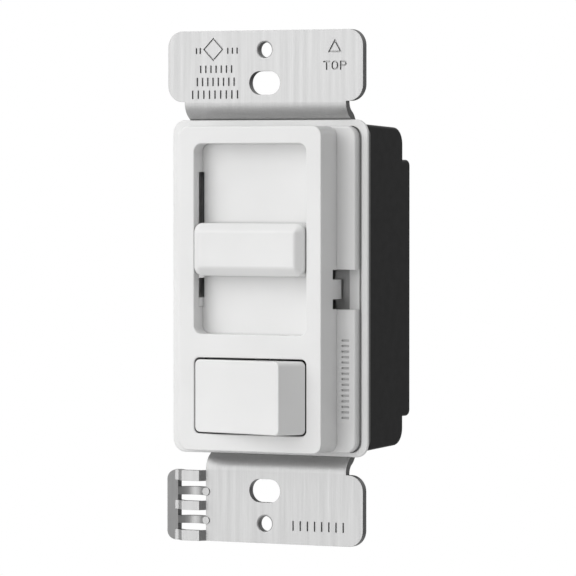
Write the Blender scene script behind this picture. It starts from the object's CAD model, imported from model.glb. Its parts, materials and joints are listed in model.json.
"""Looks for the slide dimmer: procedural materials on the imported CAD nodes, a coil spring that
shortens, a soft studio and the camera.

Everything is in metres in the CAD frame: +X right, +Y back, +Z up.
"""

import json
import math

import bpy
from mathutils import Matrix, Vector


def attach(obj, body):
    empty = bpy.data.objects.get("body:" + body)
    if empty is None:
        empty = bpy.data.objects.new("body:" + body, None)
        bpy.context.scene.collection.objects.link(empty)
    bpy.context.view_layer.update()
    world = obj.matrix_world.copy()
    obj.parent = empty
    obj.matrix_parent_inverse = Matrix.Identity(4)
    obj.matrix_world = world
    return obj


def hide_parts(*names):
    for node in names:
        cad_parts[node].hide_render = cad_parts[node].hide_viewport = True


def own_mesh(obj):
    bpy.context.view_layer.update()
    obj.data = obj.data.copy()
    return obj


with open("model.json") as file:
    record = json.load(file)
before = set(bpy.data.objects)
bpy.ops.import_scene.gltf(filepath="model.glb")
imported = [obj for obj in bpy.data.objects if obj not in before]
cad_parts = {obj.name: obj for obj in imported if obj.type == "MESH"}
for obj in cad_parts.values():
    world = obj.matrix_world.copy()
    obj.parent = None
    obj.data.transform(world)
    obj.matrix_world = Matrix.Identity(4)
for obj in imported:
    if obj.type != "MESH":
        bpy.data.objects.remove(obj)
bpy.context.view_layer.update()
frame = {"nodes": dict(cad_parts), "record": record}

MM = 0.001

WHITE = (0.80, 0.80, 0.797)
BLACK = (0.006, 0.006, 0.0063)
STEEL = (0.465, 0.465, 0.465)

# How far an edge is eased, and how near a wall has to be to count as a crevice.
PLASTIC_EASE = 0.06 * MM
METAL_EASE = 0.1 * MM
PLASTIC_CREVICE = 0.9 * MM
METAL_CREVICE = 0.6 * MM

# The share of the colour that is left in a crevice, and on the sheared edge of a sheet.
PLASTIC_CREVICE_TONE = 0.25
METAL_CREVICE_TONE = 0.35
SHEARED_TONE = 0.5

# The spring behind the plunger, along the paddle's own depth axis through its pivot.
PADDLE_TILT = 13.2
PADDLE_PIVOT = (0.0, -1.4 * MM, -22.19 * MM)
COIL_FRONT = -3.15 * MM
COIL_BACK = -0.63 * MM
COIL_RADIUS = 1.2 * MM
WIRE_RADIUS = 0.2 * MM
COIL_TURNS = 3.5
COIL_STEPS = 84

FLOOR_LEVEL = -0.3
FLOOR_HALF = 0.6
FLOOR_TONE = (0.72, 0.72, 0.72)

# The studio's light on the object, from its darkest side to its brightest one. The span is given
# as cosines of the angle from the bright side: the light grows from the first to the second.
WORLD_LOW = 0.01
WORLD_HIGH = 0.8
WORLD_BRIGHT_SIDE = (-0.11, 0.07, 0.99)
WORLD_SPAN = (-0.68, 0.9)

# Name, degrees to the right of straight ahead, degrees up, distance, size in metres, watts.
LAMPS = (
    ("key", -30.0, 25.0, 1.5, 1.8, 12.5),
    ("side", -52.0, 30.0, 1.6, 0.7, 2.4),
    ("low", -28.0, -12.0, 1.6, 1.0, 4.0),
)

VIEW_AZIMUTH = 29.0
VIEW_HEIGHT = 1.5
VIEW_DISTANCE = 0.97144
VIEW_TARGET = (0.00545, 0.0, -0.00012)
VIEW_LENS = 298.125
VIEW_SENSOR = 36.0


# ---------------------------------------------------------------- node helpers


def feed(tree, socket, value):
    """Links an output to an input socket, or sets the input to a plain value."""
    if isinstance(value, bpy.types.NodeSocket):
        tree.links.new(value, socket)
    else:
        socket.default_value = value


class Graph:
    """A material's node tree with short ways to add and join nodes."""

    def __init__(self, name):
        self.material = bpy.data.materials.new(name)
        self.material.use_nodes = True
        self.tree = self.material.node_tree
        self.shader = self.tree.nodes["Principled BSDF"]
        self.coords = self.add("ShaderNodeTexCoord")

    def add(self, kind, inputs=None, **settings):
        node = self.tree.nodes.new(kind)
        for key, value in settings.items():
            setattr(node, key, value)
        for key, value in (inputs or {}).items():
            feed(self.tree, node.inputs[key], value)
        return node

    def stretched(self, scale):
        """Object coordinates scaled by (x, y, z)."""
        return self.add(
            "ShaderNodeMapping", {"Vector": self.coords.outputs["Object"], "Scale": scale}
        ).outputs["Vector"]

    def noise(self, scale, detail=3.0, roughness=0.55, stretch=None):
        """A cloudy factor. A stretch below 1 draws it out along that axis."""
        vector = self.stretched(stretch) if stretch else self.coords.outputs["Object"]
        inputs = {"Vector": vector, "Scale": scale, "Detail": detail, "Roughness": roughness}
        return self.add("ShaderNodeTexNoise", inputs).outputs["Fac"]

    def spread(self, factor, low, high, start=0.35, stop=0.65):
        """Maps a factor to a range of numbers."""
        return self.add(
            "ShaderNodeMapRange",
            {"Value": factor, "From Min": start, "From Max": stop, "To Min": low, "To Max": high},
        ).outputs["Result"]

    def blend(self, factor, first, second):
        """The first colour at a factor of zero, the second at one."""
        node = self.add("ShaderNodeMix", data_type="RGBA")
        for key, value in (("Factor", factor), ("A", first), ("B", second)):
            sockets = [s for s in node.inputs if s.name == key and s.enabled]
            feed(self.tree, sockets[0], value)
        return [s for s in node.outputs if s.enabled][0]

    def eased(self, radius):
        """The surface normal with the sharp edges of the piece rounded over."""
        return self.add("ShaderNodeBevel", {"Radius": radius}, samples=6).outputs["Normal"]

    def soiled(self, tone, reach, depth):
        """Darkens a colour in narrow grooves and corners, down to the given share of it."""
        open_sky = self.add("ShaderNodeAmbientOcclusion", {"Distance": reach}, samples=8).outputs["AO"]
        shade = self.spread(open_sky, depth, 1.0, 0.1, 0.6)
        inputs = {0: tone, "Scale": shade}
        return self.add("ShaderNodeVectorMath", inputs, operation="SCALE").outputs["Vector"]

    def bump(self, height, depth, strength, below=None):
        """A normal roughened by a height, on top of another normal where one is given."""
        inputs = {"Height": height, "Distance": depth, "Strength": strength}
        if below is not None:
            inputs["Normal"] = below
        return self.add("ShaderNodeBump", inputs).outputs["Normal"]

    def facing_front(self):
        """One on faces that look along Y, zero on the sheared edges of a sheet."""
        normal = self.add("ShaderNodeNewGeometry").outputs["True Normal"]
        depth = self.add("ShaderNodeSeparateXYZ", {"Vector": normal}).outputs["Y"]
        size = self.add("ShaderNodeMath", {0: depth}, operation="ABSOLUTE").outputs[0]
        return self.spread(size, 0.0, 1.0, 0.3, 0.45)

    def set(self, **inputs):
        """Sets or links inputs of the shader. Underscores stand for spaces."""
        for key, value in inputs.items():
            feed(self.tree, self.shader.inputs[key.replace("_", " ")], value)


def rgba(color, gain=1.0):
    """A colour for a socket, brighter or darker by a gain."""
    return tuple(min(1.0, c * gain) for c in color) + (1.0,)


# ---------------------------------------------------------------- materials


def moulded_plastic(name, color, roughness, grain=0.006, variation=0.02, coat=0.0, gloss=0.5):
    """Injection-moulded plastic: faint flow mottling, a fine grain and slightly rounded edges."""
    g = Graph(name)
    flow = g.noise(55.0, detail=2.0)
    tone = g.blend(g.spread(flow, 0.0, 1.0), rgba(color, 1 - variation), rgba(color, 1 + variation))
    fine = g.noise(9000.0, detail=2.0, roughness=0.7)
    haze = g.noise(420.0, detail=3.0)
    g.set(
        Base_Color=g.soiled(tone, PLASTIC_CREVICE, PLASTIC_CREVICE_TONE),
        Roughness=g.spread(haze, roughness - 0.03, roughness + 0.03),
        Normal=g.bump(fine, grain * MM, 0.6, g.eased(PLASTIC_EASE)),
        IOR=1.5,
        Coat_Weight=coat,
        Specular_IOR_Level=gloss,
    )
    return g.material


def brushed_metal(name, color, roughness=0.45):
    """Sheet metal brushed along Z, with darker sheared edges, a few scratches and faint smudges."""
    g = Graph(name)
    lines = g.noise(1000.0, detail=4.0, roughness=0.75, stretch=(5.0, 5.0, 0.08))
    streaks = g.noise(900.0, detail=2.0, roughness=0.6, stretch=(1.0, 1.0, 0.03))
    smudge = g.noise(70.0, detail=3.0)
    tone = g.blend(g.spread(lines, 0.0, 1.0, 0.3, 0.7), rgba(color, 0.9), rgba(color, 1.1))
    tone = g.blend(g.spread(streaks, 0.0, 0.5), tone, rgba(color, 0.95))
    tone = g.blend(g.spread(smudge, 0.0, 0.4), tone, rgba(color, 0.97))
    torn = g.noise(4000.0, detail=3.0, stretch=(1.0, 0.2, 1.0))
    cut_tones = [rgba(color, SHEARED_TONE * gain) for gain in (0.9, 1.1)]
    cut = g.blend(g.spread(torn, 0.0, 1.0), *cut_tones)
    g.set(
        Base_Color=g.soiled(
            g.blend(g.facing_front(), cut, tone), METAL_CREVICE, METAL_CREVICE_TONE
        ),
        Metallic=1.0,
        Roughness=g.spread(streaks, roughness - 0.02, roughness + 0.03),
        Normal=g.bump(lines, 0.002 * MM, 0.6, g.eased(METAL_EASE)),
    )
    return g.material


def plain_metal(name, color, roughness=0.25):
    """Turned, drawn or plated metal with faint tarnish and fine scratches."""
    g = Graph(name)
    tarnish = g.noise(350.0, detail=4.0)
    scratches = g.noise(2500.0, detail=3.0, stretch=(1.0, 6.0, 1.0))
    tone = g.blend(g.spread(tarnish, 0.0, 1.0), rgba(color, 0.88), rgba(color, 1.06))
    g.set(
        Base_Color=tone,
        Metallic=1.0,
        Roughness=g.spread(tarnish, roughness - 0.06, roughness + 0.1),
        Normal=g.bump(scratches, 0.003 * MM, 0.7),
    )
    return g.material


def laminate(name, color):
    """Printed board: green mask over a woven glass core."""
    g = Graph(name)
    weave_x = g.add("ShaderNodeTexWave", {"Vector": g.coords.outputs["Object"], "Scale": 900.0})
    weave_x.bands_direction = "X"
    weave_z = g.add("ShaderNodeTexWave", {"Vector": g.coords.outputs["Object"], "Scale": 900.0})
    weave_z.bands_direction = "Z"
    weave = g.add(
        "ShaderNodeMath",
        {0: weave_x.outputs["Fac"], 1: weave_z.outputs["Fac"]},
        operation="MULTIPLY",
    ).outputs[0]
    tone = g.blend(weave, rgba(color, 0.8), rgba(color, 1.15))
    g.set(Base_Color=tone, Roughness=0.35, Normal=g.bump(weave, 0.004 * MM, 0.5), Coat_Weight=0.3)
    return g.material


def banded(name, color):
    """Resistor lacquer with painted colour bands along X."""
    g = Graph(name)
    place = g.add("ShaderNodeSeparateXYZ", {"Vector": g.coords.outputs["Object"]}).outputs["X"]
    ramp = g.add("ShaderNodeValToRGB")
    along = g.spread(place, 0.0, 1.0, 2.2 * MM, 8.4 * MM)
    g.tree.links.new(along, ramp.inputs["Fac"])
    ramp.color_ramp.interpolation = "CONSTANT"
    bands = (
        (0.0, color),
        (0.2, (0.30, 0.08, 0.03)),
        (0.28, color),
        (0.4, (0.02, 0.02, 0.02)),
        (0.48, color),
        (0.6, (0.75, 0.30, 0.02)),
        (0.68, color),
        (0.84, (0.55, 0.42, 0.12)),
        (0.92, color),
    )
    elements = ramp.color_ramp.elements
    elements[0].color = rgba(color)
    elements[1].position = bands[1][0]
    elements[1].color = rgba(bands[1][1])
    for position, band in bands[2:]:
        elements.new(position).color = rgba(band)
    pits = g.noise(3000.0)
    g.set(Base_Color=ramp.outputs["Color"], Roughness=0.3, Normal=g.bump(pits, 0.006 * MM, 0.5))
    return g.material


MATERIALS = {
    "strap_steel": lambda n: brushed_metal(n, STEEL),
    "cover_plastic": lambda n: moulded_plastic(n, WHITE, 0.42),
    "bezel_plastic": lambda n: moulded_plastic(n, WHITE, 0.36),
    "knob_plastic": lambda n: moulded_plastic(n, WHITE, 0.34),
    "paddle_plastic": lambda n: moulded_plastic(n, WHITE, 0.33),
    "stop_plastic": lambda n: moulded_plastic(n, (0.88, 0.88, 0.88), 0.45),
    "carriage_plastic": lambda n: moulded_plastic(n, (0.72, 0.72, 0.70), 0.5),
    "guide_plastic": lambda n: moulded_plastic(n, BLACK, 0.55, 0.01),
    "cradle_plastic": lambda n: moulded_plastic(n, BLACK, 0.55, 0.01),
    "plunger_plastic": lambda n: moulded_plastic(n, (0.75, 0.74, 0.68), 0.4),
    "spring_steel": lambda n: plain_metal(n, (0.60, 0.60, 0.60), 0.22),
    "switch_plastic": lambda n: moulded_plastic(n, (0.03, 0.03, 0.03), 0.5, 0.01),
    "contact_brass": lambda n: plain_metal(n, (0.72, 0.52, 0.22), 0.28),
    "button_silver": lambda n: plain_metal(n, (0.78, 0.77, 0.74), 0.2),
    "terminal_brass": lambda n: plain_metal(n, (0.70, 0.50, 0.22), 0.3),
    "housing_plastic": lambda n: moulded_plastic(n, BLACK, 0.42, 0.008, 0.03, gloss=0.3),
    "screw_steel": lambda n: plain_metal(n, (0.62, 0.62, 0.60), 0.28),
    "bushing_plastic": lambda n: moulded_plastic(n, (0.012, 0.012, 0.012), 0.45),
    "lead_terminal_brass": lambda n: plain_metal(n, (0.70, 0.52, 0.25), 0.3),
    "board_laminate": lambda n: laminate(n, (0.015, 0.16, 0.05)),
    "pot_metal": lambda n: brushed_metal(n, (0.58, 0.58, 0.57), 0.35),
    "lever_plastic": lambda n: moulded_plastic(n, (0.76, 0.76, 0.73), 0.45),
    "triac_epoxy": lambda n: moulded_plastic(n, (0.015, 0.015, 0.015), 0.5, 0.015),
    "triac_metal": lambda n: brushed_metal(n, (0.68, 0.68, 0.68), 0.3),
    "lead_tin": lambda n: plain_metal(n, (0.72, 0.72, 0.70), 0.3),
    "insulator_film": lambda n: moulded_plastic(n, (0.50, 0.24, 0.04), 0.25),
    "rivet_aluminium": lambda n: plain_metal(n, (0.80, 0.80, 0.80), 0.3),
    "ferrite": lambda n: moulded_plastic(n, (0.05, 0.05, 0.045), 0.7, 0.03),
    "copper_wire": lambda n: plain_metal(n, (0.66, 0.25, 0.09), 0.22),
    "film_case": lambda n: moulded_plastic(n, (0.42, 0.07, 0.02), 0.25, coat=0.5),
    "timing_case": lambda n: moulded_plastic(n, (0.02, 0.05, 0.25), 0.25, coat=0.5),
    "resistor_body": lambda n: banded(n, (0.55, 0.40, 0.22)),
    "diac_glass": lambda n: moulded_plastic(n, (0.03, 0.08, 0.32), 0.15, coat=0.6),
    "fuse_ceramic": lambda n: moulded_plastic(n, (0.82, 0.80, 0.74), 0.5, 0.015),
    "fuse_metal": lambda n: plain_metal(n, (0.74, 0.74, 0.72), 0.2),
    "trimmer_plastic": lambda n: moulded_plastic(n, (0.02, 0.07, 0.35), 0.35),
}


def dress_nodes():
    """Gives every CAD node the finish of its slot."""
    made = {slot: make(slot + "_finish") for slot, make in MATERIALS.items()}
    for part in frame["record"]["subparts"]:
        node = frame["nodes"][part["node"]]
        node.data.materials.clear()
        node.data.materials.append(made[part["material_slot"]])
    return made


# ---------------------------------------------------------------- plunger spring


def coil_spring(finish):
    """The spring behind the plunger: as in CAD, but it shortens as the plunger is pressed in."""
    tilt = math.radians(PADDLE_TILT)
    axis = Vector((math.sin(tilt), math.cos(tilt), 0.0))
    side = Vector((math.cos(tilt), -math.sin(tilt), 0.0))
    up = Vector((0.0, 0.0, 1.0))
    pivot = Vector(PADDLE_PIVOT)
    curve = bpy.data.curves.new("coil_path", "CURVE")
    curve.dimensions = "3D"
    curve.bevel_depth = WIRE_RADIUS
    curve.bevel_resolution = 3
    curve.use_fill_caps = True
    spline = curve.splines.new("POLY")
    spline.points.add(COIL_STEPS)
    for index in range(COIL_STEPS + 1):
        share = index / COIL_STEPS
        angle = 2 * math.pi * COIL_TURNS * share
        around = side * math.cos(angle) + up * math.sin(angle)
        along = COIL_FRONT + (COIL_BACK - COIL_FRONT) * share
        spline.points[index].co = (*(pivot + axis * along + around * COIL_RADIUS), 1.0)
    path = bpy.data.objects.new("coil_path", curve)
    mesh = bpy.data.meshes.new_from_object(path)
    bpy.data.objects.remove(path)
    mesh.name = "plunger_coil"
    mesh.shade_smooth()
    mesh.materials.clear()
    mesh.materials.append(finish)
    coil = bpy.data.objects.new("plunger_coil", mesh)
    bpy.context.scene.collection.objects.link(coil)
    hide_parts("plunger_spring")
    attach(coil, "plunger")
    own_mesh(coil)


# ---------------------------------------------------------------- studio


def from_front(azimuth, height):
    """A direction from the object, given in degrees: to the right of straight ahead, and up."""
    turn = math.radians(azimuth)
    lift = math.radians(height)
    return Vector(
        (math.sin(turn) * math.cos(lift), -math.cos(turn) * math.cos(lift), math.sin(lift))
    )


def set_up(obj, target, toward, distance):
    """Puts a lamp or the camera at a distance from a target, and turns it to look at that."""
    obj.location = Vector(target) + toward * distance
    obj.rotation_mode = "QUATERNION"
    obj.rotation_quaternion = toward.to_track_quat("Z", "Y")
    bpy.context.scene.collection.objects.link(obj)


def area_light(name, azimuth, height, distance, size, power):
    """A soft square lamp that looks at the middle of the object."""
    lamp = bpy.data.lights.new(name, "AREA")
    lamp.size = size
    lamp.energy = power
    set_up(bpy.data.objects.new(name, lamp), (0, 0, 0), from_front(azimuth, height), distance)


def studio_world():
    """White to the camera. Its light on the object is a soft grey, darkest from below."""
    world = bpy.data.worlds.new("studio")
    world.use_nodes = True
    tree = world.node_tree
    tree.nodes.clear()

    def add(kind, **inputs):
        node = tree.nodes.new(kind)
        for key, value in inputs.items():
            feed(tree, node.inputs[key.replace("_", " ")], value)
        return node

    ray = add("ShaderNodeTexCoord").outputs["Generated"]
    toward = tree.nodes.new("ShaderNodeVectorMath")
    toward.operation = "DOT_PRODUCT"
    toward.inputs[1].default_value = Vector(WORLD_BRIGHT_SIDE).normalized()
    tree.links.new(ray, toward.inputs[0])
    facing = toward.outputs["Value"]
    level = add(
        "ShaderNodeMapRange",
        Value=facing,
        From_Min=WORLD_SPAN[0],
        From_Max=WORLD_SPAN[1],
        To_Min=WORLD_LOW,
        To_Max=WORLD_HIGH,
    )
    light = add("ShaderNodeBackground", Strength=level.outputs["Result"])
    plain = add("ShaderNodeBackground", Strength=1.0)
    for node in (light, plain):
        node.inputs["Color"].default_value = (1.0, 1.0, 1.0, 1.0)
    seen = tree.nodes.new("ShaderNodeLightPath")
    mix = tree.nodes.new("ShaderNodeMixShader")
    tree.links.new(seen.outputs["Is Camera Ray"], mix.inputs[0])
    tree.links.new(light.outputs[0], mix.inputs[1])
    tree.links.new(plain.outputs[0], mix.inputs[2])
    out = tree.nodes.new("ShaderNodeOutputWorld")
    tree.links.new(mix.outputs[0], out.inputs["Surface"])
    bpy.context.scene.world = world


def floor():
    """A plain pale floor below the object, which hangs clear of it."""
    half = FLOOR_HALF
    corners = [(-half, -half), (half, -half), (half, half), (-half, half)]
    mesh = bpy.data.meshes.new("floor")
    mesh.from_pydata([(x, y, FLOOR_LEVEL) for x, y in corners], [], [(0, 1, 2, 3)])
    obj = bpy.data.objects.new("floor", mesh)
    bpy.context.scene.collection.objects.link(obj)
    g = Graph("floor_paint")
    g.set(Base_Color=g.blend(g.noise(30.0), rgba(FLOOR_TONE), rgba(FLOOR_TONE, 1.05)), Roughness=0.7)
    mesh.materials.append(g.material)


def camera():
    """Looks at the object from its right and a little above."""
    data = bpy.data.cameras.new("camera")
    data.sensor_width = VIEW_SENSOR
    data.lens = VIEW_LENS
    data.clip_start = 0.05
    data.clip_end = 20.0
    obj = bpy.data.objects.new("camera", data)
    set_up(obj, VIEW_TARGET, from_front(VIEW_AZIMUTH, VIEW_HEIGHT), VIEW_DISTANCE)
    bpy.context.scene.camera = obj


finishes = dress_nodes()
coil_spring(finishes["spring_steel"])
studio_world()
floor()
camera()
for lamp in LAMPS:
    area_light(*lamp)
bpy.context.scene.view_settings.view_transform = "Standard"
